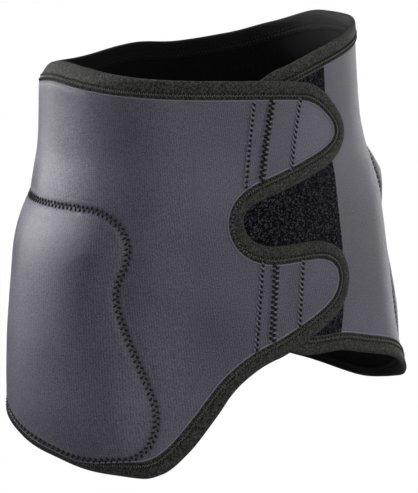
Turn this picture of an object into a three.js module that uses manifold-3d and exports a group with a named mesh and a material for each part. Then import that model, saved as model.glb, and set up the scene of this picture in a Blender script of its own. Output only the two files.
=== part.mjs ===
// Hip protector: a neoprene wrap that closes in front with two rounded tabs over a loop panel.
// Its edge is bound with tape all round, and a padded panel is sewn into each side.
// Millimetres, +Z up, +X to the wearer's left, and the front faces -Y.
// The origin is the centre of the hollow, at hip level.

import * as THREE from 'three';
import Module from 'manifold-3d';

const wasm = await Module();
wasm.setup();

// The hollow that the body fills, seen in plan at hip level

const hipBreadth = 325;
const hipDepth = 227.5;
const planPower = 2.29;

// The wrap

const rimHeight = 150;
const hemDepth = 162;
const wall = 3;
const underReach = 92;
const underRimCorner = 80;
const underHemCorner = 22;
const clearance = 0.35;

// The tabs of the over layer, measured along the wrap from the front centre

const notchInset = 67;
const notchHeight = 31;
const upperTabReach = 62;
const lowerTabReach = 42.5;

// Edge tape

const tapeWidth = 13.5;
const tapeThickness = 0.9;

// Loop panel on the under layer and hook patches inside the tabs

const loopThickness = 1.2;
const loopEdge = 45;
const loopLean = 12;
const hookThickness = 0.9;
const hookWidth = 34;
const hookSlant = 16;
const hookCentre = -22;

// Padded hip panels

const panelHalfWidth = 114;
const rightPanelCentre = -252;
const leftPanelCentre = 226;
const rightPanelTop = 45;
const leftPanelTop = 60;
const leftPanelLean = 40;
const panelHemInset = 14.5;
const padRise = 11;
const padShoulder = 50;
const padInset = 15;

// How far the rim leans and the hem curls towards the body, and over what height; how far
// the hem flares away from the body at the hips, and over what height; how far the wrap
// stands off in front of the left hip, below what height, and over what height it starts

const rimLean = 10;
const hemCurl = 12;
const edgeBend = 20;
const hemFlare = 10;
const flareHeight = 55;
const standOff = 6;
const standOffTop = 68;
const standOffBlend = 50;

// Where the over layer climbs onto the under layer, measured back from the front centre

const climbStart = 190;
const climbEnd = 110;

// Plan sections of the hollow: height is a share of rimHeight above the origin and of
// hemDepth below it, size is a share of hipBreadth and hipDepth

const sections = [
  { height: -1.24, size: 1.157 },
  { height: -0.93, size: 1.114 },
  { height: -0.62, size: 1.071 },
  { height: -0.28, size: 1.034 },
  { height: 0.03, size: 0.997 },
  { height: 0.33, size: 0.96 },
  { height: 0.6, size: 0.911 },
  { height: 0.83, size: 0.898 },
  { height: 1, size: 0.892 },
  { height: 1.2, size: 0.888 },
];

// The rim: along is a share of the girth from the front centre, height of rimHeight

const rim = [
  { along: -0.13, height: 0.89 },
  { along: -0.062, height: 0.925 },
  { along: -0.007, height: 0.967 },
  { along: 0.041, height: 1.02 },
  { along: 0.114, height: 1.073 },
  { along: 0.19, height: 1.113 },
  { along: 0.24, height: 1.113 },
  { along: 0.308, height: 1.027 },
  { along: 0.358, height: 0.967 },
  { along: 0.415, height: 0.947 },
  { along: 0.475, height: 0.972 },
  { along: 0.56, height: 0.947 },
  { along: 0.66, height: 0.985 },
  { along: 0.72, height: 1.03 },
  { along: 0.755, height: 1.015 },
  { along: 0.793, height: 0.995 },
  { along: 0.83, height: 0.98 },
  { along: 0.878, height: 0.96 },
  { along: 0.941, height: 0.927 },
  { along: 1.006, height: 0.88 },
  { along: 1.03, height: 0.845 },
];

// The hem: along is a share of the girth, drop a share of hemDepth below the origin

const hem = [
  { along: -0.13, drop: 0.45 },
  { along: -0.07, drop: 0.455 },
  { along: -0.038, drop: 0.478 },
  { along: -0.002, drop: 0.537 },
  { along: 0.036, drop: 0.556 },
  { along: 0.067, drop: 0.605 },
  { along: 0.113, drop: 0.691 },
  { along: 0.153, drop: 0.81 },
  { along: 0.182, drop: 0.907 },
  { along: 0.237, drop: 0.975 },
  { along: 0.301, drop: 0.914 },
  { along: 0.39, drop: 0.772 },
  { along: 0.5, drop: 0.704 },
  { along: 0.613, drop: 0.765 },
  { along: 0.702, drop: 0.885 },
  { along: 0.741, drop: 0.95 },
  { along: 0.797, drop: 1.01 },
  { along: 0.834, drop: 1.015 },
  { along: 0.85, drop: 0.99 },
  { along: 0.87, drop: 0.895 },
  { along: 0.893, drop: 0.741 },
  { along: 0.913, drop: 0.611 },
  { along: 0.94, drop: 0.525 },
  { along: 0.962, drop: 0.494 },
];

// Lean of the rim, curl and flare of the hem and the stand-off round the wrap, as shares of
// rimLean, hemCurl, hemFlare and standOff

const bends = [
  { along: -0.13, lean: 0, curl: 0, flare: 0, off: 0 },
  { along: 0.055, lean: 0, curl: 0, flare: 0, off: 0 },
  { along: 0.12, lean: 0, curl: 0, flare: 0.3, off: 0.9 },
  { along: 0.16, lean: 0, curl: 0, flare: 0.4, off: 1 },
  { along: 0.24, lean: 0, curl: 0.7, flare: 0.6, off: 0.3 },
  { along: 0.32, lean: 0, curl: 0.8, flare: 0.9, off: 0 },
  { along: 0.4, lean: 0.2, curl: 0.2, flare: 0.4, off: 0 },
  { along: 0.5, lean: 0.4, curl: 0.1, flare: 0, off: 0 },
  { along: 0.6, lean: 0.5, curl: 0.1, flare: 0.4, off: 0 },
  { along: 0.66, lean: 0.9, curl: 0.3, flare: 1, off: 0 },
  { along: 0.71, lean: 1, curl: 0.8, flare: 1, off: 0 },
  { along: 0.76, lean: 0.9, curl: 1, flare: 0.5, off: 0 },
  { along: 0.81, lean: 0.3, curl: 0.7, flare: 0.1, off: 0 },
  { along: 0.845, lean: 0.1, curl: 0.1, flare: 0, off: 0 },
  { along: 0.87, lean: 0, curl: 0, flare: 0, off: 0 },
  { along: 1.1, lean: 0, curl: 0, flare: 0, off: 0 },
];

// Edge of the upper tab, from the floor of the notch round the tip to the rim: reach is a
// share of the tab's length, rise a share of the height from the notch to rimHeight

const upperTab = [
  { reach: 0, rise: 0 },
  { reach: 0.022, rise: 0.062 },
  { reach: 0.12, rise: 0.12 },
  { reach: 0.34, rise: 0.168 },
  { reach: 0.62, rise: 0.232 },
  { reach: 0.79, rise: 0.28 },
  { reach: 0.9, rise: 0.335 },
  { reach: 0.975, rise: 0.405 },
  { reach: 1, rise: 0.478 },
  { reach: 0.975, rise: 0.56 },
  { reach: 0.907, rise: 0.65 },
  { reach: 0.8, rise: 0.748 },
  { reach: 0.667, rise: 0.823 },
  { reach: 0.55, rise: 0.85 },
];

// Edge of the lower tab, from the floor of the notch round the tip to the hem: reach is a
// share of the tab's length, drop a share of the height from the hem to the notch

const lowerTab = [
  { reach: 0, drop: 0 },
  { reach: 0.026, drop: 0.09 },
  { reach: 0.1, drop: 0.165 },
  { reach: 0.25, drop: 0.218 },
  { reach: 0.48, drop: 0.234 },
  { reach: 0.7, drop: 0.25 },
  { reach: 0.85, drop: 0.298 },
  { reach: 0.95, drop: 0.38 },
  { reach: 1, drop: 0.52 },
  { reach: 0.965, drop: 0.66 },
  { reach: 0.88, drop: 0.765 },
  { reach: 0.74, drop: 0.845 },
  { reach: 0.54, drop: 0.92 },
  { reach: 0.303, drop: 1 },
];

// Hook patches: middle and tall are shares of their tab's height, counted from the notch

const hooks = [
  { name: 'hook_patch_upper', middle: 0.52, tall: 0.353 },
  { name: 'hook_patch_lower', middle: -0.58, tall: 0.342 },
];

// A hip panel's outline from the middle of its top round to the middle of its foot: front
// and back are shares of panelHalfWidth, rise a share of the height from the hem seam to
// the panel's top

const panelEdge = [
  { front: 0, back: 0, rise: 1 },
  { front: 0.42, back: 0.42, rise: 1 },
  { front: 0.56, back: 0.56, rise: 0.992 },
  { front: 0.67, back: 0.67, rise: 0.965 },
  { front: 0.755, back: 0.75, rise: 0.925 },
  { front: 0.797, back: 0.8, rise: 0.86 },
  { front: 0.785, back: 0.815, rise: 0.79 },
  { front: 0.735, back: 0.815, rise: 0.72 },
  { front: 0.715, back: 0.815, rise: 0.66 },
  { front: 0.735, back: 0.82, rise: 0.6 },
  { front: 0.79, back: 0.845, rise: 0.51 },
  { front: 0.87, back: 0.885, rise: 0.4 },
  { front: 0.945, back: 0.935, rise: 0.29 },
  { front: 0.99, back: 0.975, rise: 0.2 },
  { front: 0.995, back: 0.985, rise: 0.12 },
  { front: 0.95, back: 0.95, rise: 0.05 },
  { front: 0.86, back: 0.86, rise: 0.01 },
  { front: 0.74, back: 0.74, rise: 0 },
  { front: 0.4, back: 0.4, rise: 0 },
];

// Mesh steps

const columnStep = 16;
const lobeStep = 8;
const lowerRows = 5;
const upperRows = 4;
const cornerSteps = 8;
const tabSteps = 10;
const panelAcross = 11;
const panelUp = 12;
const arcSteps = 720;

// A smooth value between the rows of a table, without overshoot

function readTable(rows, key, value, x) {
  const last = rows.length - 1;
  if (x <= rows[0][key]) return rows[0][value];
  if (x >= rows[last][key]) return rows[last][value];
  const i = rows.findIndex((row) => row[key] > x) - 1;
  const slope = (k) => (rows[k + 1][value] - rows[k][value]) / (rows[k + 1][key] - rows[k][key]);
  const tangent = (k) => {
    if (k === 0) return slope(0);
    if (k === last) return slope(last - 1);
    const before = slope(k - 1);
    const after = slope(k);
    return before * after > 0 ? (2 * before * after) / (before + after) : 0;
  };
  const width = rows[i + 1][key] - rows[i][key];
  const t = (x - rows[i][key]) / width;
  const rise = rows[i + 1][value] - rows[i][value];
  const ease = t * t * (3 - 2 * t);
  const pull = t * (1 - t) * ((1 - t) * tangent(i) - t * tangent(i + 1));
  return rows[i][value] + rise * ease + width * pull;
}

// The hollow's surface

function radiusAt(angle, height) {
  const share = height / (height > 0 ? rimHeight : hemDepth);
  const size = readTable(sections, 'height', 'size', share) / 2;
  const across = Math.abs(Math.sin(angle)) / (hipBreadth * size);
  const deep = Math.abs(Math.cos(angle)) / (hipDepth * size);
  return (across ** planPower + deep ** planPower) ** (-1 / planPower);
}

// Distance along the wrap is measured on the hip section, from the front centre

const arcs = [{ angle: 0, along: 0 }];
for (let i = 1; i <= arcSteps; i += 1) {
  const before = arcs[i - 1];
  const angle = (i / arcSteps) * 2 * Math.PI;
  const from = new THREE.Vector2(Math.sin(before.angle), Math.cos(before.angle));
  const to = new THREE.Vector2(Math.sin(angle), Math.cos(angle));
  from.multiplyScalar(radiusAt(before.angle, 0));
  to.multiplyScalar(radiusAt(angle, 0));
  arcs.push({ angle, along: before.along + from.distanceTo(to) });
}
const girth = arcs[arcSteps].along;

function angleAt(along) {
  const turns = Math.floor(along / girth);
  const rest = along - turns * girth;
  let low = 0;
  let high = arcSteps;
  while (high - low > 1) {
    const middle = Math.floor((low + high) / 2);
    if (arcs[middle].along <= rest) low = middle;
    else high = middle;
  }
  const share = (rest - arcs[low].along) / (arcs[high].along - arcs[low].along);
  return turns * 2 * Math.PI + arcs[low].angle + share * (arcs[high].angle - arcs[low].angle);
}

function rimAt(along) {
  return rimHeight * readTable(rim, 'along', 'height', along / girth);
}

function hemAt(along) {
  return -hemDepth * readTable(hem, 'along', 'drop', along / girth);
}

// The over layer lies on the loop panel with room for the hook patches and the tape

const underTab = clearance + Math.max(hookThickness, tapeThickness) + clearance;
const climb = clearance + loopThickness + underTab + wall;

function smoothStep(share) {
  const t = Math.min(1, Math.max(0, share));
  return t * t * (3 - 2 * t);
}

function climbAt(along) {
  return climb * smoothStep((along - girth + climbStart) / (climbStart - climbEnd));
}

function bendAt(along, height) {
  const share = along / girth;
  const nearRim = Math.max(0, 1 - (rimAt(along) - height) / edgeBend);
  const nearHem = Math.max(0, 1 - (height - hemAt(along)) / edgeBend);
  const nearFlare = Math.max(0, 1 - (height - hemAt(along)) / flareHeight);
  const lean = rimLean * readTable(bends, 'along', 'lean', share) * nearRim ** 2;
  const curl = hemCurl * readTable(bends, 'along', 'curl', share) * nearHem ** 2;
  const flare = hemFlare * readTable(bends, 'along', 'flare', share) * nearFlare ** 2;
  const belowTop = smoothStep((standOffTop - height) / standOffBlend);
  const off = standOff * readTable(bends, 'along', 'off', share) * belowTop;
  return lean + curl - flare - off;
}

// A flat point of the wrap, along and height, becomes a place in space; offset is counted
// outwards from the outer face of the wall

function place(point, offset) {
  const angle = angleAt(point.along);
  const out = offset + climbAt(point.along) - bendAt(point.along, point.height);
  const radius = radiusAt(angle, point.height) + out;
  return [radius * Math.sin(angle), -radius * Math.cos(angle), point.height];
}

// Flat sheets of four-sided cells, with shared corners

function newSheet() {
  return { points: [], cells: [], found: new Map() };
}

function addPatch(sheet, patch) {
  const corner = (point) => {
    const name = `${point.along.toFixed(3)} ${point.height.toFixed(3)}`;
    if (!sheet.found.has(name)) {
      sheet.found.set(name, sheet.points.length);
      sheet.points.push(point);
    }
    return sheet.found.get(name);
  };
  for (let i = 0; i + 1 < patch.length; i += 1) {
    for (let j = 0; j + 1 < patch[i].length; j += 1) {
      const quad = [patch[i][j], patch[i + 1][j], patch[i + 1][j + 1], patch[i][j + 1]];
      sheet.cells.push(quad.map(corner));
    }
  }
}

function openEdges(sheet) {
  const edges = new Map();
  for (const cell of sheet.cells) {
    cell.forEach((from, k) => edges.set(`${from} ${cell[(k + 1) % 4]}`, [from, cell[(k + 1) % 4]]));
  }
  return [...edges.values()].filter(([from, to]) => !edges.has(`${to} ${from}`));
}

function outlineOf(sheet) {
  const next = new Map(openEdges(sheet));
  const first = next.keys().next().value;
  const outline = [];
  let at = first;
  do {
    outline.push(sheet.points[at]);
    at = next.get(at);
  } while (at !== first);
  return outline;
}

function between(a, b, share) {
  return {
    along: a.along + share * (b.along - a.along),
    height: a.height + share * (b.height - a.height),
  };
}

// A patch blended from its four sides: low and high run along, start and end run up

function blendPatch(low, high, start, end) {
  const across = low.length - 1;
  const up = start.length - 1;
  return low.map((_, i) => start.map((__, j) => {
    const u = i / across;
    const v = j / up;
    const ruled = between(low[i], high[i], v);
    const sides = between(start[j], end[j], u);
    const corners = between(between(low[0], low[across], u), between(high[0], high[across], u), v);
    return {
      along: ruled.along + sides.along - corners.along,
      height: ruled.height + sides.height - corners.height,
    };
  }));
}

function smoothLine(points, steps) {
  const curve = new THREE.SplineCurve(points.map((p) => new THREE.Vector2(p.along, p.height)));
  return curve.getSpacedPoints(steps).map((p) => ({ along: p.x, height: p.y }));
}

function straightLine(from, to, steps) {
  return Array.from({ length: steps + 1 }, (_, i) => between(from, to, i / steps));
}

// Solids

function meshSolid(positions, triangles) {
  const geometry = new THREE.BufferGeometry();
  geometry.setAttribute('position', new THREE.Float32BufferAttribute(positions, 3));
  geometry.setIndex(triangles);
  return geometry;
}

function sheetSolid(sheet, innerFace, outerFace) {
  const count = sheet.points.length;
  const positions = [];
  for (const point of sheet.points) positions.push(...place(point, outerFace(point)));
  for (const point of sheet.points) positions.push(...place(point, innerFace(point)));
  const triangles = [];
  for (const [a, b, c, d] of sheet.cells) {
    triangles.push(a, b, c, a, c, d);
    triangles.push(count + a, count + c, count + b, count + a, count + d, count + c);
  }
  for (const [a, b] of openEdges(sheet)) {
    triangles.push(b, a, count + a, b, count + a, count + b);
  }
  return meshSolid(positions, triangles);
}

function toManifold(geometry) {
  const mesh = new wasm.Mesh({
    numProp: 3,
    vertProperties: new Float32Array(geometry.getAttribute('position').array),
    triVerts: new Uint32Array(geometry.getIndex().array),
  });
  mesh.merge();
  return new wasm.Manifold(mesh);
}

function cutOut(geometry, cutters) {
  let solid = toManifold(geometry);
  for (const cutter of cutters) solid = solid.subtract(toManifold(cutter));
  const mesh = solid.getMesh();
  return meshSolid(Array.from(mesh.vertProperties), Array.from(mesh.triVerts));
}

// An outline moved inwards by a distance; outlines run with the piece on their left, and
// sharpestTurn limits how far a sharp corner moves

const sharpestTurn = 0.8;

function insetRing(outline, inset) {
  const count = outline.length;
  return outline.map((point, i) => {
    const before = outline[(i + count - 1) % count];
    const after = outline[(i + 1) % count];
    const ahead = new THREE.Vector2(after.along - point.along, after.height - point.height);
    const behind = new THREE.Vector2(point.along - before.along, point.height - before.height);
    ahead.normalize();
    const heading = behind.normalize().add(ahead).normalize();
    const spread = inset / Math.max(sharpestTurn, heading.dot(ahead));
    return {
      along: point.along - heading.y * spread,
      height: point.height + heading.x * spread,
    };
  });
}

function addBand(sheet, outline, inner) {
  outline.forEach((point, i) => {
    const k = (i + 1) % outline.length;
    addPatch(sheet, [[point, inner[i]], [outline[k], inner[k]]]);
  });
}

// Layout of the wrap

const overRoot = girth - underReach;
const notchAlong = girth - notchInset;
const upperLength = notchInset + upperTabReach;
const lowerLength = notchInset + lowerTabReach;

const lowerJoinAlong = notchAlong + lowerTab[lowerTab.length - 1].reach * lowerLength;
const upperTabHeight = rimHeight - notchHeight;
const lowerTabHeight = notchHeight - hemAt(lowerJoinAlong);

const upperEdge = upperTab.map(({ reach, rise }) => ({
  along: notchAlong + reach * upperLength,
  height: notchHeight + rise * upperTabHeight,
}));

const lowerEdge = lowerTab.map(({ reach, drop }) => ({
  along: notchAlong + reach * lowerLength,
  height: notchHeight - drop * lowerTabHeight,
}));

// Columns of the long body: close together round the corners of the under end, then even

const plainStart = underRimCorner - underReach;
const plainSteps = Math.round((overRoot - plainStart) / columnStep);
const wrapColumns = [];
for (let i = 0; i < cornerSteps; i += 1) {
  const turn = (i / cornerSteps) * (Math.PI / 2);
  wrapColumns.push(plainStart - underRimCorner * Math.cos(turn));
}
for (let i = 0; i <= plainSteps; i += 1) {
  wrapColumns.push(plainStart + (i / plainSteps) * (overRoot - plainStart));
}

// How much a round corner of the under end takes from the hem or the rim

function cornerCut(along, corner) {
  const left = Math.max(0, corner - underReach - along);
  return corner - Math.sqrt(Math.max(0, corner ** 2 - left ** 2));
}

const hemPoint = (along) => ({ along, height: hemAt(along) + cornerCut(along, underHemCorner) });
const rimPoint = (along) => ({ along, height: rimAt(along) - cornerCut(along, underRimCorner) });

// The sides of the wrap's outline, in order round it; each tab's tip runs from row tipFirstRow
// to row tipLastRow of its table

const tipFirstRow = 6;
const tipLastRow = 10;

function edgeLine(edge, from, to, step, height) {
  const line = [];
  for (let along = from; along < to - step / 2; along += step) {
    line.push({ along, height: height(along) });
  }
  return [...line, ...edge];
}

function wrapSides() {
  const hemLine = wrapColumns.map(hemPoint);
  const rimLine = wrapColumns.map(rimPoint);
  const upperJoin = upperEdge[upperEdge.length - 1].along;
  const lowerTip = lowerEdge.slice(tipLastRow).reverse();
  const upperTip = upperEdge.slice(tipLastRow).reverse();
  return [
    hemLine,
    smoothLine(edgeLine(lowerTip, overRoot, lowerJoinAlong, lobeStep, hemAt), tabSteps + 2),
    smoothLine(lowerEdge.slice(tipFirstRow, tipLastRow + 1).reverse(), lowerRows),
    smoothLine(lowerEdge.slice(0, tipFirstRow + 1).reverse(), tabSteps),
    smoothLine(upperEdge.slice(0, tipFirstRow + 1), tabSteps),
    smoothLine(upperEdge.slice(tipFirstRow, tipLastRow + 1), upperRows),
    smoothLine(edgeLine(upperTip, overRoot, upperJoin, columnStep, rimAt), tabSteps + 2).reverse(),
    rimLine.reverse(),
    straightLine(rimPoint(-underReach), hemPoint(-underReach), lowerRows + upperRows),
  ];
}

// The wrap's outline moved inwards and split into its sides again

function insetSides(sides, inset) {
  const inner = insetRing(sides.flatMap((side) => side.slice(0, -1)), inset);
  let start = 0;
  return sides.map((side) => {
    const line = side.map((_, i) => inner[(start + i) % inner.length]);
    start += side.length - 1;
    return line;
  });
}

// The wrap as a flat sheet: a band as wide as the tape round its outline, and patches inside

function wrapSheet() {
  const sides = wrapSides();
  const inner = insetSides(sides, tapeWidth);
  const sheet = newSheet();
  sides.forEach((side, k) => addPatch(sheet, side.map((point, i) => [point, inner[k][i]])));

  const [hemLine, lowerLow, lowerEnd, lowerHigh, upperLow, upperEnd, upperHigh, rimLine, underEnd] = inner;
  const rimForward = [...rimLine].reverse();
  const last = hemLine.length - 1;
  const middle = { along: overRoot, height: upperLow[0].height };
  const below = straightLine(hemLine[last], middle, lowerRows);
  const above = straightLine(middle, rimForward[last], upperRows);
  const rootColumn = [...below, ...above.slice(1)];
  addPatch(sheet, blendPatch(hemLine, rimForward, [...underEnd].reverse(), rootColumn));

  const toNotch = straightLine(middle, upperLow[0], 2);
  const upperFloor = [...toNotch, ...upperLow.slice(1)];
  addPatch(sheet, blendPatch(upperFloor, [...upperHigh].reverse(), above, upperEnd));
  const lowerRoof = [...toNotch, ...[...lowerHigh].reverse().slice(1)];
  addPatch(sheet, blendPatch(lowerLow, lowerRoof, below, lowerEnd));
  return sheet;
}

// Loop panel: it fills the under end between the tape and its own free edge, which leans
// back towards the hem

function pointOn(line, along) {
  const next = line.findIndex((point) => point.along >= along);
  const from = line[next - 1];
  const to = line[next];
  return between(from, to, (along - from.along) / (to.along - from.along));
}

function loopSheet() {
  const inner = insetSides(wrapSides(), tapeWidth + 2 * clearance);
  const [hemLine] = inner;
  const [rimLine, underEnd] = inner.slice(-2).map((line) => [...line].reverse());
  const foot = loopEdge - loopLean;
  const next = hemLine.findIndex((point) => point.along >= foot - 1);
  const low = [...hemLine.slice(0, next), pointOn(hemLine, foot)];
  const high = [...rimLine.slice(0, next), pointOn(rimLine, loopEdge)];
  const freeEdge = straightLine(low[next], high[next], underEnd.length - 1).map((point) => {
    const drop = Math.max(0, point.height / low[next].height);
    return { along: loopEdge - loopLean * drop ** 2, height: point.height };
  });
  const sheet = newSheet();
  addPatch(sheet, blendPatch(low, high, underEnd, freeEdge));
  return sheet;
}

// A hip panel: its outline, which turns its corners at rows topTurnRow and footTurnRow of its
// table and runs along the foot first, then a flat sheet whose inner patch is also the pad's

const topTurnRow = 4;
const footTurnRow = 15;

function panelOutline(centre, lean, top, inset) {
  const towardsBack = Math.sign(girth / 2 - centre);
  const spot = (across, rise) => {
    const along = centre + towardsBack * (lean * (1 - rise) + across * panelHalfWidth);
    const low = hemAt(along) + panelHemInset;
    return { along, height: low + rise * (top - low) };
  };
  const front = panelEdge.map((row) => spot(-row.front, row.rise));
  const back = panelEdge.map((row) => spot(row.back, row.rise));
  const [first, second] = towardsBack > 0 ? [front, back] : [back, front];
  const topTurn = [...second.slice(0, topTurnRow + 1).reverse(), ...first.slice(1, topTurnRow + 1)];
  const footTurn = [...first.slice(footTurnRow), ...second.slice(footTurnRow).reverse()];
  const ring = [
    ...smoothLine(footTurn, panelAcross).slice(0, -1),
    ...smoothLine(second.slice(topTurnRow, footTurnRow + 1).reverse(), panelUp).slice(0, -1),
    ...smoothLine(topTurn, panelAcross).slice(0, -1),
    ...smoothLine(first.slice(topTurnRow, footTurnRow + 1), panelUp).slice(0, -1),
  ];
  return inset > 0 ? insetRing(ring, inset) : ring;
}

function innerPatch(ring, across, up) {
  const side = (from, steps) => {
    return Array.from({ length: steps + 1 }, (_, i) => ring[(from + i) % ring.length]);
  };
  const low = side(0, across);
  const end = side(across, up);
  const high = side(across + up, across).reverse();
  const start = side(2 * across + up, up).reverse();
  return blendPatch(low, high, start, end);
}

function riseOver(outline) {
  const ring = outline.map((point) => new THREE.Vector2(point.along, point.height));
  return (point) => {
    const spot = new THREE.Vector2(point.along, point.height);
    const reaches = ring.map((from, i) => {
      const to = ring[(i + 1) % ring.length];
      const run = to.clone().sub(from);
      const share = spot.clone().sub(from).dot(run) / run.lengthSq();
      return from.clone().addScaledVector(run, Math.min(1, Math.max(0, share))).distanceTo(spot);
    });
    const t = Math.min(1, Math.min(...reaches) / padShoulder);
    return padRise * t * (2 - t);
  };
}

// Edge tape: a folded strip that follows the wrap's outline; its section is given as steps
// inwards from the edge and outwards from the wall's outer face, and the fold's shoulders
// lie at foldShare and foldRiseShare shares of its thickness

const foldShare = 0.75;
const foldRiseShare = 0.4;

function tapeSection() {
  const lip = clearance + tapeThickness;
  const low = -wall - lip;
  return [
    { inward: tapeWidth, offset: clearance },
    { inward: tapeWidth, offset: lip },
    { inward: tapeThickness, offset: lip },
    { inward: -foldShare * lip, offset: foldRiseShare * lip },
    { inward: -lip, offset: -wall / 2 },
    { inward: -foldShare * lip, offset: -wall - foldRiseShare * lip },
    { inward: tapeThickness, offset: low },
    { inward: tapeWidth, offset: low },
    { inward: tapeWidth, offset: -wall - clearance },
    { inward: -clearance, offset: -wall - clearance },
    { inward: -clearance, offset: clearance },
  ];
}

function tapeSolid(outline) {
  const section = tapeSection();
  const ring = section.length;
  const rows = section.map(({ inward, offset }) => {
    return insetRing(outline, inward).map((point) => place(point, offset));
  });
  const positions = outline.flatMap((_, i) => rows.flatMap((row) => row[i]));
  const triangles = [];
  outline.forEach((_, i) => {
    const here = i * ring;
    const there = ((i + 1) % outline.length) * ring;
    for (let j = 0; j < ring; j += 1) {
      const k = (j + 1) % ring;
      const goesIn = section[j].inward < section[k].inward;
      if (goesIn) triangles.push(here + j, here + k, there + k, here + j, there + k, there + j);
      else triangles.push(here + j, here + k, there + j, here + k, there + k, there + j);
    }
  });
  return meshSolid(positions, triangles);
}

// Hook patches: slanted strips inside the tabs, between their outer seams

const hookSteps = 4;

function hookSheet(middle, tall) {
  const sheet = newSheet();
  const column = (i) => Array.from({ length: hookSteps + 1 }, (_, j) => {
    const up = j / hookSteps - 0.5;
    const along = girth + hookCentre + (i / hookSteps - 0.5) * hookWidth + up * hookSlant;
    return { along, height: middle + up * tall };
  });
  addPatch(sheet, Array.from({ length: hookSteps + 1 }, (_, i) => column(i)));
  return sheet;
}

// Assembly

const neoprene = new THREE.MeshStandardMaterial({ color: 0x4b4953, roughness: 0.85, metalness: 0 });
const panelCloth = new THREE.MeshStandardMaterial({ color: 0x504e59, roughness: 0.85, metalness: 0 });
const tapeCloth = new THREE.MeshStandardMaterial({ color: 0x2e2f2b, roughness: 0.8, metalness: 0 });
const loopPile = new THREE.MeshStandardMaterial({ color: 0x1b1a1f, roughness: 0.95, metalness: 0 });
const hookPlastic = new THREE.MeshStandardMaterial({ color: 0x151517, roughness: 0.6, metalness: 0 });
const foam = new THREE.MeshStandardMaterial({ color: 0x2a2a2e, roughness: 0.9, metalness: 0 });

const protector = new THREE.Group();

function addPiece(name, geometry, material) {
  geometry.computeVertexNormals();
  const mesh = new THREE.Mesh(geometry, material);
  mesh.name = name;
  protector.add(mesh);
}

const outerFace = () => 0;
const innerFace = () => -wall;
const cutDepth = 3 * wall;

const sides = [
  { side: 'right', centre: girth + rightPanelCentre, lean: 0, top: rightPanelTop },
  { side: 'left', centre: leftPanelCentre, lean: leftPanelLean, top: leftPanelTop },
];

const wrap = wrapSheet();

function panelSheet(outline) {
  const inner = insetRing(outline, padInset);
  const sheet = newSheet();
  addBand(sheet, outline, inner);
  addPatch(sheet, innerPatch(inner, panelAcross, panelUp));
  return sheet;
}

function padSheet(outline) {
  const sheet = newSheet();
  addPatch(sheet, innerPatch(insetRing(outline, padInset), panelAcross, panelUp));
  return sheet;
}

const holes = sides.map(({ centre, lean, top }) => {
  const sheet = panelSheet(panelOutline(centre, lean, top, 0));
  return sheetSolid(sheet, () => -wall - cutDepth, () => cutDepth);
});
addPiece('body_wrap', cutOut(sheetSolid(wrap, innerFace, outerFace), holes), neoprene);
addPiece('edge_binding', tapeSolid(outlineOf(wrap)), tapeCloth);

for (const { side, centre, lean, top } of sides) {
  const rise = riseOver(panelOutline(centre, lean, top, 0));
  const outline = panelOutline(centre, lean, top, clearance);
  const panelInside = (point) => rise(point) - wall;
  addPiece(`hip_panel_${side}`, sheetSolid(panelSheet(outline), panelInside, rise), panelCloth);
  const padTop = (point) => panelInside(point) - clearance;
  addPiece(`hip_pad_${side}`, sheetSolid(padSheet(outline), innerFace, padTop), foam);
}

const loopFoot = clearance;
const loopTop = loopFoot + loopThickness;
addPiece('loop_panel', sheetSolid(loopSheet(), () => loopFoot, () => loopTop), loopPile);

const hookTop = -wall - clearance;
for (const { name, middle, tall } of hooks) {
  const tabHeight = middle > 0 ? upperTabHeight : lowerTabHeight;
  const sheet = hookSheet(notchHeight + middle * tabHeight, tall * tabHeight);
  addPiece(name, sheetSolid(sheet, () => hookTop - hookThickness, () => hookTop), hookPlastic);
}

export default protector;
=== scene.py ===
# Hip protector: neoprene wrap, padded hip panels, bound edge, hook and loop closure
# Metres, +Z up, +X to the wearer's left, the closure faces -Y

import math

import bpy
import numpy as np
from mathutils import Matrix, Vector


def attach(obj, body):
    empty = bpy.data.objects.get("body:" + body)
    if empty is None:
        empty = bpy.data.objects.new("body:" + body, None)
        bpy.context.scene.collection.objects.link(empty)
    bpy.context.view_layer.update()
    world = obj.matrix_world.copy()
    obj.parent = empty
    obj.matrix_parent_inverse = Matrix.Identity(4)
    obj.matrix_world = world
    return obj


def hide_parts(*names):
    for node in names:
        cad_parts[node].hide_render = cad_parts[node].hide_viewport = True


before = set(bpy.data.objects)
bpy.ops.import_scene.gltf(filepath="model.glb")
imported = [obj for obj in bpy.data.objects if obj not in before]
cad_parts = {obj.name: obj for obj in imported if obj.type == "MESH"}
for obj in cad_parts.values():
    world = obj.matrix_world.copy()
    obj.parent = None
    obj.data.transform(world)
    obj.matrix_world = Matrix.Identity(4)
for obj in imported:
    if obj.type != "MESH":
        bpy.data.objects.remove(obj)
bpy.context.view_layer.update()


# Form of the wrap

form = {
    "hipBreadth": 0.325,
    "hipDepth": 0.2275,
    "planPower": 2.29,
    "centreRounding": 0.12,
    "rimHeight": 0.15,
    "hemDepth": 0.162,
    "wall": 0.003,
    "rimLean": 0.010,
    "hemCurl": 0.012,
    "edgeBend": 0.020,
    "hemFlare": 0.010,
    "flareHeight": 0.055,
    "standOff": 0.006,
    "standOffTop": 0.068,
    "standOffBlend": 0.050,
    "climb": 0.00615,
    "climbStart": 0.190,
    "climbEnd": 0.110,
}

# height (shares of rimHeight above and hemDepth below), size
sections = [
    (-1.24, 1.157), (-0.93, 1.114), (-0.62, 1.071), (-0.28, 1.034), (0.03, 0.997),
    (0.33, 0.96), (0.6, 0.911), (0.83, 0.898), (1, 0.892), (1.2, 0.888),
]

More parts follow.
